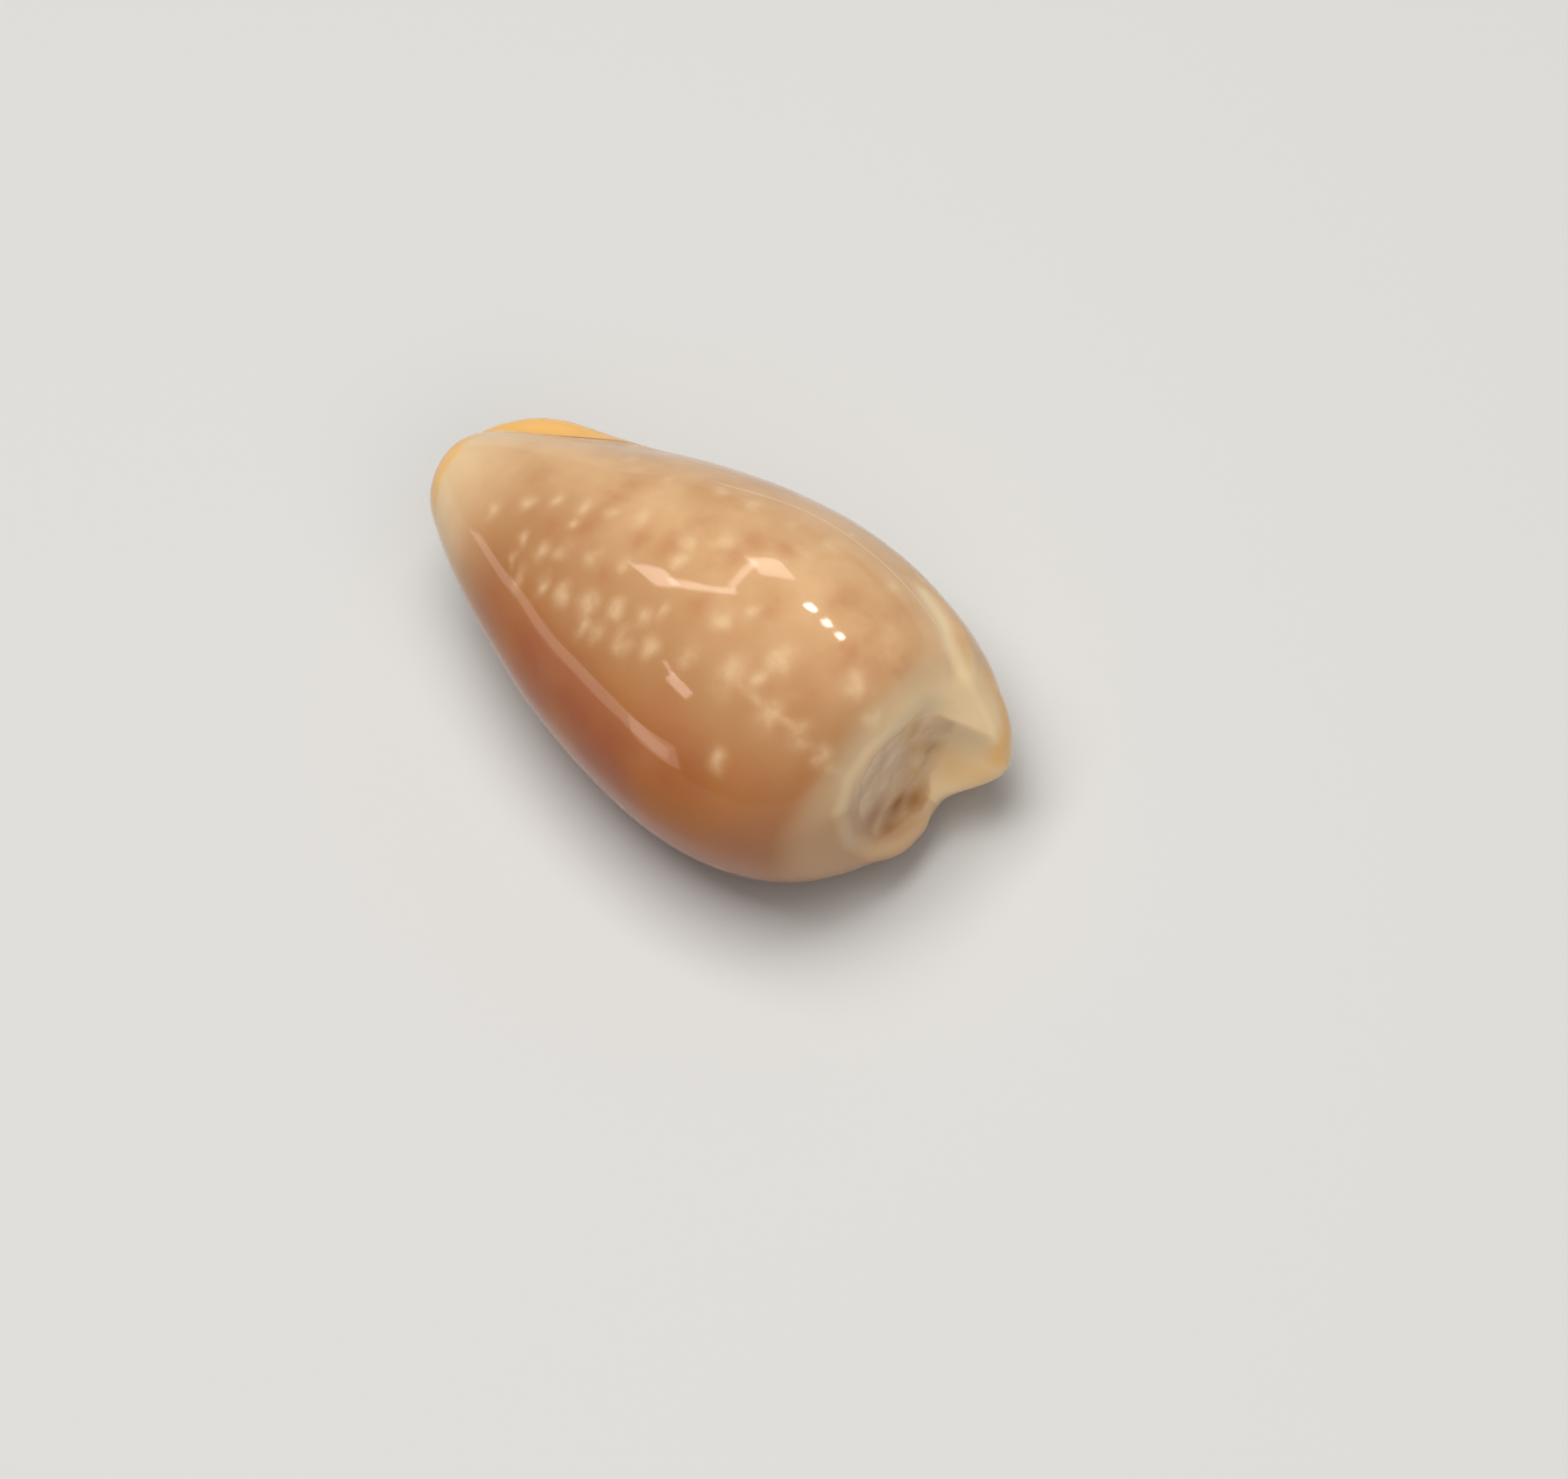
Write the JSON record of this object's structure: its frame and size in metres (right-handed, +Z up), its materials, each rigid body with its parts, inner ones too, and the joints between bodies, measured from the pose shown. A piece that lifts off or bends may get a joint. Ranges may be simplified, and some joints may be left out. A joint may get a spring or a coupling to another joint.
{
  "type": "bullata analuciae shell",
  "caption": "Glossy egg-shaped sea snail shell with a sunken spire, a thick rounded outer lip and a long narrow aperture with folds on its columella, lying on the aperture.",
  "frame": {"origin": "middle of the shell's length and width, at the level of the surface it rests on", "axes": "+X along the shell axis toward the spire, +Y toward the outer lip, +Z up, out of the back"},
  "size_m": [0.0302, 0.0176, 0.0151],
  "materials": {
    "shell": "natural high gloss"
  },
  "bodies": {
    "root": {"shell": "shell"}
  },
  "joints": []
}
